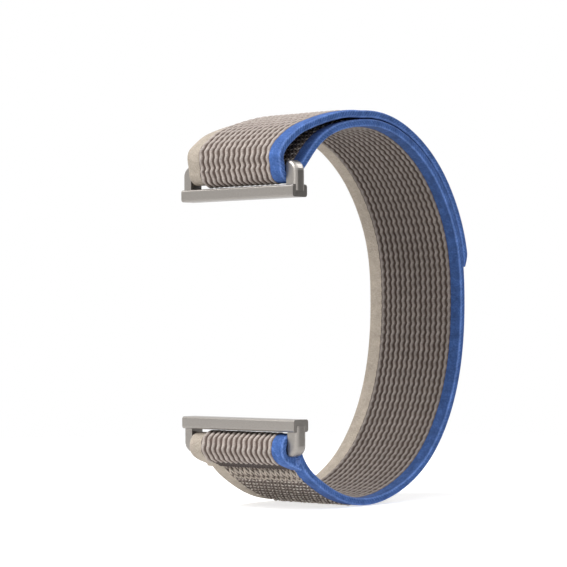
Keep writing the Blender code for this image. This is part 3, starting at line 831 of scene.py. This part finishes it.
# The tail's selvedges
# The blue and the cream edge run on along the tail, and are pressed thin with its tip. The cream one is
# lower than the ridges beside it.
tail_edge_route, tail_edge_along, _, edge_back = tail_rows(SELVEDGE_SPACING)
tail_edge_low, tail_edge_high = tail_faces(edge_back)
tail_blue = selvedge(
    "tail_blue_edge", tail_edge_route, tail_edge_along, ground_near, near_edge,
    tail_edge_low, tail_edge_high, seed=31,
)
dress_tail(tail_blue, blue_yarn, "tail_blue_selvedge")
tail_cream = selvedge(
    "tail_cream_edge", tail_edge_route, tail_edge_along, ground_far, far_edge,
    tail_edge_low, tail_edge_high - CREAM_TAIL_DROP * (1 - tip_press(edge_back)), seed=37,
)
dress_tail(tail_cream, cream_yarn, "tail_cream_selvedge")

# The hook patch
# A strip of moulded nylon hooks under the tail, near its tip. The hooks stand in staggered rows and bend
# over alternately, and they catch the band's loops.
HOOK_EDGE_MARGIN = 0.0006
HOOK_PITCH = 0.00085
HOOK_FIRST = 0.75
HOOK_STAGGER = 0.5
HOOK_SIDES = 4
HOOK_STEM = 0.00013
HOOK_REACH = 0.00030
HOOK_BEND = 0.00016
HOOK_COLOUR = (0.060, 0.058, 0.060)
HOOK_LEVELS = ((0.0, 0.0, 1.0), (0.60, 0.10, 0.75), (0.95, 0.50, 0.60), (0.80, 1.00, 0.35))
GRAIN_DETAIL = 4.0
PIT_TONES = ((0.35, 0.80), (0.65, 1.20))
PIT_ROUGHNESS = 0.08
PIT_BUMP = 0.4


def tones(colour, stops):
    """Stops for a colour ramp, each a place and how light the colour is there."""
    return [(place, [share * light for share in colour]) for place, light in stops]


def moulded(name, colour, roughness, speck, depth):
    """A moulded or rubbery finish, mottled and slightly pitted."""
    made, tree, shader = new_material(name)
    pits = noise(tree, add_node(tree, "TexCoord", {}).outputs["Object"], speck, GRAIN_DETAIL)
    rough = spread(tree, pits, (0.0, 1.0), (roughness - PIT_ROUGHNESS, roughness + PIT_ROUGHNESS))
    feed(tree, shader, {
        "Base Color": colour_ramp(tree, pits, tones(colour, PIT_TONES)),
        "Roughness": rough,
        "Normal": bumps(tree, pits, PIT_BUMP, depth),
    })
    return made


def hook_points(base, outwards, alongside, side):
    """Four-sided rings up one hook, which bends over sideways."""
    rings = []
    sideways = Vector((0.0, 1.0, 0.0))
    for rise, bend, size in HOOK_LEVELS:
        centre = base + outwards * HOOK_REACH * rise + alongside * HOOK_BEND * bend * side
        for corner in range(HOOK_SIDES):
            turn = math.tau * (corner + 0.5) / HOOK_SIDES
            over = alongside * HOOK_STEM / 2 * size * math.cos(turn)
            rings.append(centre + over + sideways * HOOK_STEM / 2 * size * math.sin(turn))
    return rings


patch_route = tail_route[hooked]
patch_length = length_along(patch_route)
patch_near = ground_near + HOOK_EDGE_MARGIN
patch_far = ground_far - HOOK_EDGE_MARGIN
patch_flat = np.zeros((len(patch_route), 2))
patch = worked_slab(
    "hook_strip_backing", patch_route, patch_length, np.array([patch_near, patch_far]), patch_flat,
    patch_flat - half, np.full(len(patch_route), -half + HOOK_THICKNESS), patch_flat,
)
hook_verts = []
patch_normals = left_normals(patch_route)
hook_rows = int(patch_length[-1] / HOOK_PITCH) - 1
hook_columns = int((patch_far - patch_near) / HOOK_PITCH) - 1
for row in range(hook_rows):
    place = int(np.argmin(abs(patch_length - (row + 1) * HOOK_PITCH)))
    away = Vector((-patch_normals[place][0], 0.0, -patch_normals[place][1]))
    ahead = Vector((away.z, 0.0, -away.x))
    spot = patch_route[place] - patch_normals[place] * half
    for column in range(hook_columns):
        y = patch_near + (column + HOOK_FIRST + HOOK_STAGGER * (row % 2)) * HOOK_PITCH
        base = Vector((spot[0], y, spot[1])) - away * HOOK_SUNK
        hook_verts.extend(hook_points(base, away, ahead, 1 if column % 2 else -1))
hook_rings = np.arange(len(hook_verts)).reshape(-1, len(HOOK_LEVELS), HOOK_SIDES)
hook_faces = [face for rings in hook_rings for face in wrapped(rings, True)]
hooks = add_mesh("hook_strip_hooks", [tuple(vert) for vert in hook_verts], hook_faces)
hooks.data.shade_smooth()
hook_nylon = moulded("hook_nylon", HOOK_COLOUR, roughness=0.55, speck=0.0006, depth=0.00004)
for piece in (patch, hooks):
    dress(piece, hook_nylon, "tail", "hook_patch")

# The flap's seam
# Where the flap ends, its cut yarns are bound down under a dense dark row of slanted thread. Below it two
# rows of zigzag stitching hold the flap to the band, and a coil of blue yarn closes the near edge.
SEAM_RECESS = 0.00030
SEAM_GAP = 0.00012
SEAM_RIB = 0.00058
SEAM_RIB_HEIGHT = 0.00016
SEAM_RIB_STEPS = 6
SEAM_SLANT = 0.8
SEAM_THIN = 0.00015
SEAM_CLOSE_POWER = 2
SEAM_COLOURS = ((0.012, 0.009, 0.008), (0.048, 0.038, 0.035), (0.160, 0.135, 0.126))
THREAD_SIDES = 6
ZIGZAG_THREAD = 0.00026
ZIGZAG_POINTS = 7
ZIGZAG_SUNK = 0.00006
ZIGZAG_MARGIN = 0.10
ZIGZAG_UNEVEN_SHARE = 0.14
ZIGZAG_TONE = 0.45
ZIGZAG_CREST_HIGHLIGHT = 0.50
ZIGZAG_ROWS = ((0.0042, 0.0058), (0.0061, 0.0070))
SWIRL_PLACE = (0.00140, -0.02600)
SWIRL_RADIUS = 0.00058
SWIRL_HEART = 0.15
SWIRL_THREAD = 0.00022
SWIRL_TURNS = 2.5
SWIRL_POINTS = 60
SWIRL_PROUD = 0.00004

seam_thread = fabric("seam_thread", SEAM_COLOURS, grain=0.00016, roughness=0.85)
seam_route = flap[flap_length >= FLAP_GROUND_LENGTH - ROUTE_SPACING]
seam_ribs = round((ground_far - ground_near) / SEAM_RIB)
seam_across = np.linspace(ground_near, ground_far, seam_ribs * SEAM_RIB_STEPS + 1)
seam_along = length_along(seam_route)
rib_turn = seam_across - ground_near + SEAM_SLANT * seam_along[:, None]
rib_relief = 0.5 - 0.5 * np.cos(math.tau * rib_turn / SEAM_RIB)
seam_close = np.linspace(0.0, 1.0, len(seam_route))[:, None] ** SEAM_CLOSE_POWER
seam_fall = BAND_THICKNESS - SEAM_RECESS - SEAM_GAP - SEAM_RIB_HEIGHT - SEAM_THIN
seam_face = -half + SEAM_RECESS + SEAM_RIB_HEIGHT * (1 - rib_relief) + seam_close * seam_fall
seam = worked_slab(
    "flap_seam_binding", seam_route, seam_along, seam_across, np.zeros_like(rib_relief),
    seam_face, np.full(len(seam_route), half - SEAM_GAP), rib_relief,
)

band_normals = left_normals(band)
band_length = length_along(band)


def on_band(back, across, lift):
    """Points over the band's outer face, back from the lower bar along the band."""
    along = band_length[-1] - back
    out = pairs_at(along, band_length, band_normals)
    place = pairs_at(along, band_length, band) + out * (half + lift)[..., None]
    return np.stack([place[..., 0], across, place[..., 1]], axis=-1)


def coil(name, x, y, z, thread, facing, sides):
    """One thread or wire along a line of places."""
    path = np.stack([x, y, z], axis=1)[None]
    return threads(name, path, np.ones((1, len(x))), thread / 2, np.array(facing), sides)


strokes = []
chance = np.random.default_rng(41)
stroke_shares = np.linspace(0.0, 1.0, ZIGZAG_POINTS)
stroke_arch = np.sin(math.pi * stroke_shares)
for start, end in ZIGZAG_ROWS:
    for i in range(2 * RIDGES):
        near = ground_near + ridge_pitch * (i + ZIGZAG_MARGIN) / 2
        far = ground_near + ridge_pitch * (i + 1 - ZIGZAG_MARGIN) / 2
        slip = (end - start) * ZIGZAG_UNEVEN_SHARE * (chance.random() * 2 - 1)
        back = start + slip + (end - start) * (1 - stroke_shares if i % 2 else stroke_shares)
        lift = stroke_arch * ZIGZAG_THREAD / 2 - ZIGZAG_SUNK
        strokes.append(on_band(back, near + (far - near) * stroke_shares, lift))
strokes = np.array(strokes)
# Each stroke is painted darker where it sinks into the band, painted shade, and lighter on top of its arch, a
# painted highlight.
stroke_relief = np.tile(ZIGZAG_TONE + ZIGZAG_CREST_HIGHLIGHT * stroke_arch, (len(strokes), 1))
stroke_out = pairs_at(band_length[-1] - np.mean(ZIGZAG_ROWS), band_length, band_normals)
zigzag = threads(
    "flap_zigzag_stitches", strokes, stroke_relief, ZIGZAG_THREAD / 2,
    np.array([stroke_out[0], 0.0, stroke_out[1]]), THREAD_SIDES,
)

swirl_turns = np.linspace(0.0, math.tau * SWIRL_TURNS, SWIRL_POINTS)
swirl_radii = SWIRL_RADIUS * np.linspace(SWIRL_HEART, 1.0, SWIRL_POINTS)
swirl = coil(
    "flap_seam_knot", SWIRL_PLACE[0] + swirl_radii * np.cos(swirl_turns),
    np.full(SWIRL_POINTS, near_edge - SWIRL_PROUD), SWIRL_PLACE[1] + swirl_radii * np.sin(swirl_turns),
    SWIRL_THREAD, (0.0, -1.0, 0.0), THREAD_SIDES,
)
# The coil is the blue yarn, painted in its light colour only: a painted highlight on the coil.
KNOT_COLOURS = (BLUE_COLOURS[1], BLUE_COLOURS[2], BLUE_COLOURS[2])
knot_yarn = fabric("knot_yarn", KNOT_COLOURS, grain=0.00020, roughness=0.78)
for piece, material in ((seam, seam_thread), (zigzag, under_yarn), (swirl, knot_yarn)):
    dress(piece, material, "band", "flap_seam_thread")

# The lug bodies
# Each lug is one machined aluminium piece: a rail that slides into the case's slot and two round ears
# that hold the cross bar. Its edges are broken, and its surface is blasted to a soft satin.
LUG_EDGE = 0.00032
LUG_EDGE_STEPS = 4
LUG_COLOUR = (0.330, 0.307, 0.284)
EDGE_ANGLE = 40
METAL_TONES = ((0.30, 0.90), (0.70, 1.08))
METAL_BUMP = 0.25


def metal(name, colour, roughness, speck, brush, depth):
    """Bare metal whose grain is drawn out along the lug's length. roughness is its least and its most."""
    made, tree, shader = new_material(name)
    place = add_node(tree, "TexCoord", {}).outputs["Object"]
    stretch = add_node(tree, "Mapping", {"Vector": place, "Scale": (1.0, 1 / brush, 1.0)})
    grain = noise(tree, stretch.outputs["Vector"], speck, GRAIN_DETAIL)
    feed(tree, shader, {
        "Base Color": colour_ramp(tree, grain, tones(colour, METAL_TONES)),
        "Metallic": 1.0,
        "Roughness": spread(tree, grain, NOISE_SPREAD, roughness),
        "Normal": bumps(tree, grain, METAL_BUMP, depth),
    })
    return made


def dress_node(node, material):
    """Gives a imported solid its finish."""
    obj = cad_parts[node]
    obj.data.materials.clear()
    obj.data.materials.append(material)
    return obj


def broken_edges(obj, width, steps):
    step = obj.modifiers.new("broken_edges", "BEVEL")
    step.width = width
    step.segments = steps
    step.limit_method = "ANGLE"
    step.angle_limit = math.radians(EDGE_ANGLE)


satin = metal(
    "satin_aluminium", LUG_COLOUR, roughness=(0.30, 0.38), speck=0.00012, brush=3.0, depth=0.000006
)
for which in ("upper", "lower"):
    broken_edges(dress_node(which + "_lug_body", satin), LUG_EDGE, LUG_EDGE_STEPS)

# The cross bars
# A turned steel pin runs from ear to ear inside the fold of the textile. It sits in blind holes in the
# ears, and the lug swivels about it.
BAR_COLOUR = (0.560, 0.550, 0.540)
turned_steel = metal(
    "turned_steel", BAR_COLOUR, roughness=(0.14, 0.26), speck=0.00010, brush=0.2, depth=0.000004
)
for which in ("upper", "lower"):
    dress_node(which + "_cross_bar", turned_steel)

# The latches
# In the middle of each rail a coil spring pushes a steel nose out through a keeper plate, and the nose snaps
# into the case. On the real lug the spring shortens as the nose goes in.
KEEPER_EDGE = 0.00006
SMALL_EDGE_STEPS = 2
SPRING_WIRE = 0.00016
SPRING_RADIUS = 0.00042
SPRING_TURNS = 4
SPRING_POINTS = 97
SPRING_SIDES = 10
SPRING_COLOUR = (0.350, 0.350, 0.360)
polished_steel = metal(
    "polished_steel", BAR_COLOUR, roughness=(0.10, 0.20), speck=0.00020, brush=1.0, depth=0.000002
)
spring_wire = metal(
    "spring_wire", SPRING_COLOUR, roughness=(0.25, 0.40), speck=0.00010, brush=1.0, depth=0.000004
)
spring_turns = np.linspace(0.0, math.tau * SPRING_TURNS, SPRING_POINTS)
for which in ("upper", "lower"):
    for part in ("keeper", "plunger"):
        broken_edges(dress_node(f"{which}_latch_{part}", polished_steel), KEEPER_EDGE, SMALL_EDGE_STEPS)
    spring_low, spring_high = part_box(which + "_latch_spring")
    spring_middle = (spring_low[2] + spring_high[2]) / 2
    spring = coil(
        which + "_latch_coil",
        np.linspace(spring_low[0] + SPRING_WIRE / 2, spring_high[0] - SPRING_WIRE / 2, SPRING_POINTS),
        SPRING_RADIUS * np.cos(spring_turns), spring_middle + SPRING_RADIUS * np.sin(spring_turns),
        SPRING_WIRE, (1.0, 0.0, 0.0), SPRING_SIDES,
    )
    dress(spring, spring_wire, which + "_lug", which + "_latch_spring")
    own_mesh(spring)

# The bumpers
# Small elastomer pads are pressed into the rail's face, two to a lug. They take up the play in the slot.
BUMPER_COLOUR = (0.020, 0.020, 0.022)
BUMPER_EDGE = 0.00008
elastomer = moulded("elastomer", BUMPER_COLOUR, roughness=0.65, speck=0.0002, depth=0.00001)
for which in ("upper", "lower"):
    for end in ("near", "far"):
        broken_edges(dress_node(f"{which}_bumper_{end}", elastomer), BUMPER_EDGE, SMALL_EDGE_STEPS)

# The floor
# A pale disc under the strap that keeps its shadow. It glows a little for every ray, so that it lights the
# strap from below, and more for the camera, so that it shows white. It fades out towards its rim, into the
# white surroundings.
FLOOR_RADIUS = 0.30
FLOOR_SIDES = 64
FLOOR_DROP = 0.0002
FLOOR_COLOUR = (0.80, 0.80, 0.80)
FLOOR_LIFT = 0.42
FLOOR_GLOW = 0.30
FLOOR_FADE_SHARES = (0.30, 0.95)
WHITE = (1.0, 1.0, 1.0, 1.0)


def bare_tree(owner, ending):
    """Clears a material's or a world's nodes, and adds its output."""
    owner.use_nodes = True
    owner.node_tree.nodes.clear()
    return owner.node_tree, add_node(owner.node_tree, ending, {})


def mix_shaders(tree, share, first, second):
    return add_node(tree, "MixShader", {0: share, 1: first, 2: second}).outputs["Shader"]


floor_height = cad_low[2] - FLOOR_DROP
floor_turns = [math.tau * i / FLOOR_SIDES for i in range(FLOOR_SIDES)]
floor_points = [(FLOOR_RADIUS * math.cos(t), FLOOR_RADIUS * math.sin(t), floor_height) for t in floor_turns]
floor = add_mesh("floor", floor_points, [tuple(range(FLOOR_SIDES))])
pale = bpy.data.materials.new("pale_floor")
tree, out = bare_tree(pale, "OutputMaterial")
paint = add_node(tree, "BsdfDiffuse", {"Color": (*FLOOR_COLOUR, 1.0)}).outputs["BSDF"]
seen = add_node(tree, "LightPath", {}).outputs["Is Camera Ray"]
lit = add_node(tree, "Math", {0: seen, 1: FLOOR_LIFT, 2: FLOOR_GLOW}, operation="MULTIPLY_ADD")
glow = add_node(tree, "Emission", {"Color": WHITE, "Strength": lit.outputs["Value"]}).outputs["Emission"]
lifted = add_node(tree, "AddShader", {0: paint, 1: glow}).outputs["Shader"]
where = add_node(tree, "TexCoord", {}).outputs["Object"]
reach = add_node(tree, "VectorMath", {0: where}, operation="LENGTH").outputs["Value"]
fade_reach = [FLOOR_RADIUS * share for share in FLOOR_FADE_SHARES]
fade = spread(tree, reach, fade_reach, (0.0, 1.0), interpolation_type="SMOOTHSTEP")
clear = add_node(tree, "BsdfTransparent", {}).outputs["BSDF"]
feed(tree, out, {"Surface": mix_shaders(tree, fade, lifted, clear)})
floor.data.materials.append(pale)

# The dark card
# A dark studio card stands off to the right, out of sight. The metal mirrors it, so that its faces part.
CARD_PLACE = Vector((0.31, -0.28, 0.01))
CARD_SIZE = 0.26
CARD_COLOUR = (0.05, 0.05, 0.05)
card_aim = (-CARD_PLACE).to_track_quat("Z", "Y").to_matrix()
card_corners = [Vector((x, y, 0.0)) * CARD_SIZE / 2 for x, y in ((-1, -1), (1, -1), (1, 1), (-1, 1))]
card_points = [tuple(CARD_PLACE + card_aim @ corner) for corner in card_corners]
card = add_mesh("dark_card", card_points, [(0, 1, 2, 3)])
felt = bpy.data.materials.new("card_felt")
tree, out = bare_tree(felt, "OutputMaterial")
paint = add_node(tree, "BsdfDiffuse", {"Color": (*CARD_COLOUR, 1.0)}).outputs["BSDF"]
clear = add_node(tree, "BsdfTransparent", {}).outputs["BSDF"]
seen = add_node(tree, "LightPath", {}).outputs["Is Camera Ray"]
feed(tree, out, {"Surface": mix_shaders(tree, seen, paint, clear)})
card.data.materials.append(felt)

# The light
# Soft studio light: broad lamps high on the left, behind it and before it, one on the near right, a small one
# level with the strap, and an even pale surround that shows white to the camera, in metal and in glass.
SURROUND = 0.08
LAMP_AIM = Vector((0.02, 0.0, 0.0))
world = bpy.data.worlds.new("studio")
bpy.context.scene.world = world
tree, out = bare_tree(world, "OutputWorld")
even = add_node(tree, "Background", {"Color": WHITE, "Strength": SURROUND}).outputs["Background"]
white = add_node(tree, "Background", {"Color": WHITE}).outputs["Background"]
path = add_node(tree, "LightPath", {})
seen = path.outputs["Is Camera Ray"]
for kind in ("Is Glossy Ray", "Is Transmission Ray"):
    seen = calculate(tree, "MAXIMUM", seen, path.outputs[kind])
feed(tree, out, {"Surface": mix_shaders(tree, seen, even, white)})


def lamp(name, place, size, power):
    light = bpy.data.lights.new(name, "AREA")
    light.shape = "DISK"
    light.size = size
    light.energy = power
    made = add_object(name, light)
    made.location = place
    made.rotation_euler = (LAMP_AIM - made.location).to_track_quat("-Z", "Y").to_euler()


lamp("back_lamp", (-0.14, 0.16, 0.40), size=0.22, power=1.70)
lamp("left_lamp", (-0.27, -0.05, 0.28), size=0.22, power=0.75)
lamp("near_lamp", (-0.15, -0.17, 0.15), size=0.10, power=0.14)
lamp("right_lamp", (0.26, -0.16, 0.24), size=0.20, power=0.35)
lamp("level_lamp", (-0.31, -0.24, 0.05), size=0.08, power=0.12)

# The camera
# It stands level with the case, on the near left of the strap, and looks along the photograph's line. Its
# angles are in degrees.
CAMERA_HEADING = 47.754
CAMERA_RISE = -0.9637
CAMERA_ROLL = -0.2731
CAMERA_DISTANCE = 0.40603
CAMERA_TARGET = Vector((0.010175, 0.0, 0.004400))
CAMERA_SENSOR = 36.0
CAMERA_LENS = 148.24
CAMERA_CLIP = (0.01, 10.0)
heading, rise, roll = (math.radians(angle) for angle in (CAMERA_HEADING, CAMERA_RISE, CAMERA_ROLL))
look = Vector((math.sin(heading) * math.cos(rise), math.cos(heading) * math.cos(rise), -math.sin(rise)))
level = Vector((math.cos(heading), -math.sin(heading), 0.0))
above = level.cross(look)
right = math.cos(roll) * level + math.sin(roll) * above
upright = -math.sin(roll) * level + math.cos(roll) * above
camera_data = bpy.data.cameras.new("camera")
camera_data.sensor_width = CAMERA_SENSOR
camera_data.lens = CAMERA_LENS
camera_data.clip_start, camera_data.clip_end = CAMERA_CLIP
camera = add_object("camera", camera_data)
turn = Matrix((right, upright, -look)).transposed().to_4x4()
camera.matrix_world = Matrix.Translation(CAMERA_TARGET - CAMERA_DISTANCE * look) @ turn
bpy.context.scene.camera = camera

bpy.context.scene.view_settings.view_transform = "Standard"
